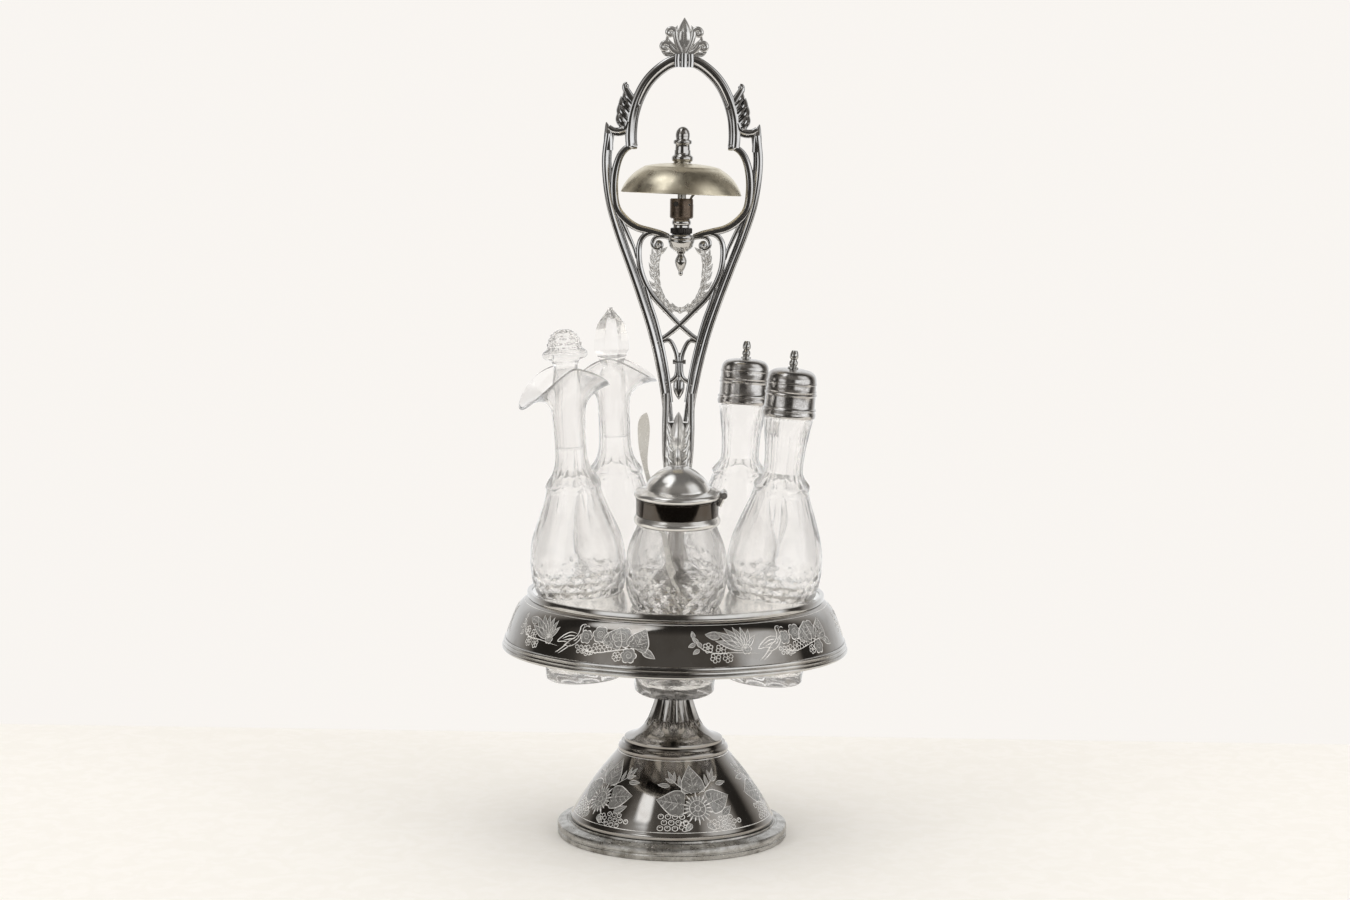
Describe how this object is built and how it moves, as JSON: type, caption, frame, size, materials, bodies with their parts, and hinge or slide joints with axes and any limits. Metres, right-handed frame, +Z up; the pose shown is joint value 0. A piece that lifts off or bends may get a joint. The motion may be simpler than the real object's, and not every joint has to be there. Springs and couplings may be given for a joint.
{
  "type": "cruet set",
  "caption": "Revolving silver-plated table stand for condiments, with stoppered cruets, shakers, a lidded mustard pot with spoon, and a call bell in its openwork handle.",
  "frame": {"origin": "centre of the foot's underside, on the table", "axes": "+Z up along the stem, +X to the right seen from the front, front faces -Y"},
  "size_m": [0.1942, 0.1942, 0.457],
  "materials": {
    "worn_silver": "worn silver plate with grey base metal showing",
    "engraved_silver": "dark polished silver plate with bright engraving",
    "dark_silver": "dark polished silver plate",
    "handle_silver": "dark cast silver plate with worn bright edges",
    "bush_brass": "turned",
    "steel": "turned",
    "knob_silver": "turned silver plate",
    "black_ring": "blackened",
    "barrel_bronze": "dark brown patina",
    "bell_brass": "dull gilt brass with tarnish",
    "cut_glass": "clear cut glass",
    "cap_silver": "polished, lightly tarnished",
    "lid_silver": "polished, lightly tarnished",
    "spoon_silver": "polished"
  },
  "bodies": {
    "foot": {"foot_rim": "worn_silver", "foot_cone": "engraved_silver", "fluted_stem": "dark_silver", "stem_bush": "bush_brass"},
    "carousel": {"spindle": "steel", "spindle_nut": "steel", "tray_hub": "dark_silver", "tray_plate": "dark_silver", "tray_bead": "dark_silver", "tray_skirt": "engraved_silver", "tray_moulding": "dark_silver", "centre_post": "dark_silver", "handle_frame": "handle_silver", "crest_palmette": "handle_silver", "laurel_garland": "handle_silver", "drop_finial": "knob_silver", "bell_hub": "knob_silver", "lower_ring": "black_ring", "upper_ring": "knob_silver", "bell_barrel": "barrel_bronze", "barrel_screw": "steel", "bell_post": "steel", "bell_cup": "bell_brass", "bell_nut": "knob_silver", "return_spring": "steel", "striker_pin": "steel"},
    "bell_plunger": {"plunger_button": "knob_silver", "plunger_rod": "steel"},
    "bell_striker": {"striker_arm": "steel"},
    "cruet_front": {"cruet_front_glass": "cut_glass"},
    "cruet_front_plug": {"cruet_front_stopper": "cut_glass"},
    "cruet_back": {"cruet_back_glass": "cut_glass"},
    "cruet_back_plug": {"cruet_back_stopper": "cut_glass"},
    "shaker_front": {"shaker_front_glass": "cut_glass"},
    "shaker_front_top": {"shaker_front_cap": "cap_silver", "shaker_front_finial": "cap_silver"},
    "shaker_back": {"shaker_back_glass": "cut_glass"},
    "shaker_back_top": {"shaker_back_cap": "cap_silver", "shaker_back_finial": "cap_silver"},
    "mustard_pot": {"mustard_jar": "cut_glass", "mustard_collar": "lid_silver", "mustard_pin": "steel"},
    "mustard_cover": {"mustard_lid": "lid_silver"},
    "mustard_server": {"mustard_spoon": "spoon_silver"}
  },
  "joints": [
    {"name": "carousel_spin", "type": "hinge", "parent": "foot", "child": "carousel", "pos_m": [0, 0, 0.12], "axis": [0, 0, 1], "continuous": true},
    {"name": "bell_push", "type": "slide", "parent": "carousel", "child": "bell_plunger", "axis": [0, 0, -1], "range_m": [0, 0.0025], "stiffness_N_per_m": 300, "springref_m": -0.002, "deforming": ["return_spring"]},
    {"name": "striker_swing", "type": "hinge", "parent": "carousel", "child": "bell_striker", "pos_m": [0.0042, 0, 0.3546], "axis": [0, -1, 0], "range_deg": [0, 5.6]},
    {"name": "cruet_front_lift", "type": "slide", "parent": "carousel", "child": "cruet_front", "axis": [-0.0746, -0.0242, 0.9969], "range_m": [0, 0.065]},
    {"name": "cruet_front_stopper_lift", "type": "slide", "parent": "cruet_front", "child": "cruet_front_plug", "axis": [-0.0746, -0.0242, 0.9969], "range_m": [0, 0.05]},
    {"name": "cruet_back_lift", "type": "slide", "parent": "carousel", "child": "cruet_back", "axis": [-0.0461, 0.0635, 0.9969], "range_m": [0, 0.065]},
    {"name": "cruet_back_stopper_lift", "type": "slide", "parent": "cruet_back", "child": "cruet_back_plug", "axis": [-0.0461, 0.0635, 0.9969], "range_m": [0, 0.05]},
    {"name": "shaker_front_lift", "type": "slide", "parent": "carousel", "child": "shaker_front", "axis": [0.0746, -0.0242, 0.9969], "range_m": [0, 0.065]},
    {"name": "shaker_front_cap_lift", "type": "slide", "parent": "shaker_front", "child": "shaker_front_top", "axis": [0.0746, -0.0242, 0.9969], "range_m": [0, 0.02]},
    {"name": "shaker_back_lift", "type": "slide", "parent": "carousel", "child": "shaker_back", "axis": [0.0461, 0.0635, 0.9969], "range_m": [0, 0.065]},
    {"name": "shaker_back_cap_lift", "type": "slide", "parent": "shaker_back", "child": "shaker_back_top", "axis": [0.0461, 0.0635, 0.9969], "range_m": [0, 0.02]},
    {"name": "mustard_lift", "type": "slide", "parent": "carousel", "child": "mustard_pot", "axis": [0, -0.0785, 0.9969], "range_m": [0, 0.065]},
    {"name": "mustard_lid_hinge", "type": "hinge", "parent": "mustard_pot", "child": "mustard_cover", "pos_m": [0.0249, -0.06057, 0.20112], "axis": [0, 0.9969, 0.0785], "range_deg": [0, 105]},
    {"name": "mustard_spoon_slide", "type": "slide", "parent": "mustard_pot", "child": "mustard_server", "axis": [-0.2484, 0.0841, 0.965], "range_m": [0, 0.03]}
  ],
  "couplings": [
    {"joint": "striker_swing", "follows": "bell_push", "rad_per_m": 38.4}
  ]
}
